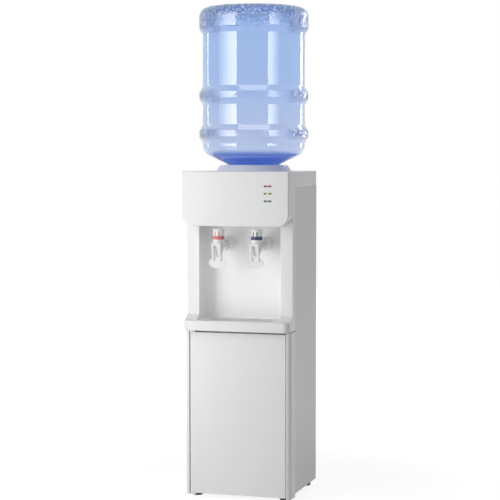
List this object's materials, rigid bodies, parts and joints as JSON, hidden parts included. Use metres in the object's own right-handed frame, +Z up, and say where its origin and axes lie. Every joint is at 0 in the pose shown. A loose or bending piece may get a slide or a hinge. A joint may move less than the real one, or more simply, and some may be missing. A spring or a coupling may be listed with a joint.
{
  "type": "water cooler",
  "caption": "Floor-standing bottled-water cooler with hot and cold lever taps, a drip tray, a storage cupboard with a hinged door and an inverted bottle.",
  "frame": {"origin": "on the floor, under the middle of the whole outline", "axes": "+Z up; -Y is the front, where the taps and the door are; +X is the user's right"},
  "size_m": [0.2699, 0.292, 1.198],
  "materials": {
    "body_white": "satin",
    "panel_white": "satin",
    "rear_grey": "satin",
    "galvanised": "satin",
    "base_grey": "matte",
    "foot_black": "matte",
    "tap_white": "gloss",
    "ring_red": "gloss",
    "ring_blue": "gloss",
    "lens_red": "gloss",
    "lens_yellow": "gloss",
    "lens_green": "gloss",
    "tray_grey": "satin",
    "seat_white": "satin",
    "bottle_blue": "gloss",
    "cap_white": "satin",
    "stainless": "brushed",
    "steel_pin": "satin",
    "foam": "matte",
    "aluminium": "satin",
    "module_white": "matte",
    "fan_black": "satin",
    "hose_clear": "satin",
    "silicone": "matte",
    "board_green": "satin",
    "nut_white": "matte",
    "switch_black": "satin",
    "rocker_red": "gloss",
    "rocker_green": "gloss",
    "magnet_brown": "matte"
  },
  "bodies": {
    "cabinet": {"feet": "foot_black", "base_tray": "base_grey", "lower_front_frame": "body_white", "side_panel_left": "panel_white", "side_panel_right": "panel_white", "rear_panel": "rear_grey", "rear_screws": "steel_pin", "fan_guard": "fan_black", "front_moulding": "body_white", "apron_cover": "body_white", "top_cover": "body_white", "bottle_seat": "seat_white", "feed_probe": "seat_white", "cold_tank": "stainless", "cold_tank_insulation": "foam", "cold_block": "aluminium", "cooling_module": "module_white", "heat_sink": "aluminium", "fan_frame": "fan_black", "hot_tank": "stainless", "hot_tank_jacket": "foam", "heater_band": "galvanised", "thermostats": "switch_black", "feed_hose": "hose_clear", "hot_hose": "hose_clear", "cold_hose": "hose_clear", "drain_hose": "hose_clear", "drain_spout": "tap_white", "machine_deck": "galvanised", "control_board": "board_green", "led_board": "board_green", "indicator_lens_red": "lens_red", "indicator_lens_yellow": "lens_yellow", "indicator_lens_green": "lens_green", "hot_tap_body": "tap_white", "cold_tap_body": "tap_white", "hot_tap_ring": "ring_red", "cold_tap_ring": "ring_blue", "tap_bonnets": "tap_white", "lever_pins": "steel_pin", "tap_nuts": "nut_white", "switch_housings": "switch_black", "cord_inlet": "switch_black", "door_hinge_pins": "steel_pin", "catch_magnet": "magnet_brown"},
    "storage_door": {"storage_door": "body_white", "door_liner": "body_white", "catch_plate": "steel_pin"},
    "hot_lever": {"hot_tap_lever": "tap_white"},
    "cold_lever": {"cold_tap_lever": "tap_white"},
    "hot_valve": {"hot_valve_stem": "silicone"},
    "cold_valve": {"cold_valve_stem": "silicone"},
    "drip_tray": {"drip_tray": "tray_grey"},
    "drip_grille": {"drip_grille": "tray_grey"},
    "bottle": {"bottle": "bottle_blue", "bottle_cap": "cap_white"},
    "fan_rotor": {"fan_rotor": "fan_black"},
    "hot_switch": {"hot_switch_rocker": "rocker_red"},
    "cold_switch": {"cold_switch_rocker": "rocker_green"},
    "drain_cap": {"drain_cap": "tap_white"}
  },
  "joints": [
    {"name": "door_swing", "type": "hinge", "parent": "cabinet", "child": "storage_door", "pos_m": [-0.1165, -0.121, 0.2], "axis": [0, 0, -1], "range_deg": [0, 95]},
    {"name": "hot_lever_push", "type": "hinge", "parent": "cabinet", "child": "hot_lever", "pos_m": [-0.048, -0.141, 0.621], "axis": [1, 0, 0], "range_deg": [0, 12], "stiffness_Nm_per_rad": 0.3, "springref_deg": -28.65},
    {"name": "cold_lever_push", "type": "hinge", "parent": "cabinet", "child": "cold_lever", "pos_m": [0.048, -0.141, 0.621], "axis": [1, 0, 0], "range_deg": [0, 12], "stiffness_Nm_per_rad": 0.3, "springref_deg": -28.65},
    {"name": "hot_valve_lift", "type": "slide", "parent": "cabinet", "child": "hot_valve", "axis": [0, 0, 1], "range_m": [0, 0.0035]},
    {"name": "cold_valve_lift", "type": "slide", "parent": "cabinet", "child": "cold_valve", "axis": [0, 0, 1], "range_m": [0, 0.0035]},
    {"name": "drip_tray_lift", "type": "slide", "parent": "cabinet", "child": "drip_tray", "axis": [0, 0, 1], "range_m": [0, 0.06]},
    {"name": "drip_grille_lift", "type": "slide", "parent": "drip_tray", "child": "drip_grille", "axis": [0, 0, 1], "range_m": [0, 0.03]},
    {"name": "bottle_lift", "type": "slide", "parent": "cabinet", "child": "bottle", "axis": [0, 0, 1], "range_m": [0, 0.12]},
    {"name": "fan_spin", "type": "hinge", "parent": "cabinet", "child": "fan_rotor", "pos_m": [0, 0.1, 0.668], "axis": [0, 1, 0], "continuous": true},
    {"name": "hot_switch_rock", "type": "hinge", "parent": "cabinet", "child": "hot_switch", "pos_m": [-0.088, 0.115, 0.704], "axis": [-1, 0, 0], "range_deg": [0, 18]},
    {"name": "cold_switch_rock", "type": "hinge", "parent": "cabinet", "child": "cold_switch", "pos_m": [-0.088, 0.115, 0.664], "axis": [-1, 0, 0], "range_deg": [0, 18]},
    {"name": "drain_cap_off", "type": "slide", "parent": "cabinet", "child": "drain_cap", "axis": [0, 1, 0], "range_m": [0, 0.025]}
  ],
  "couplings": [
    {"joint": "hot_valve_lift", "follows": "hot_lever_push", "m_per_rad": 0.0143},
    {"joint": "cold_valve_lift", "follows": "cold_lever_push", "m_per_rad": 0.0143}
  ]
}
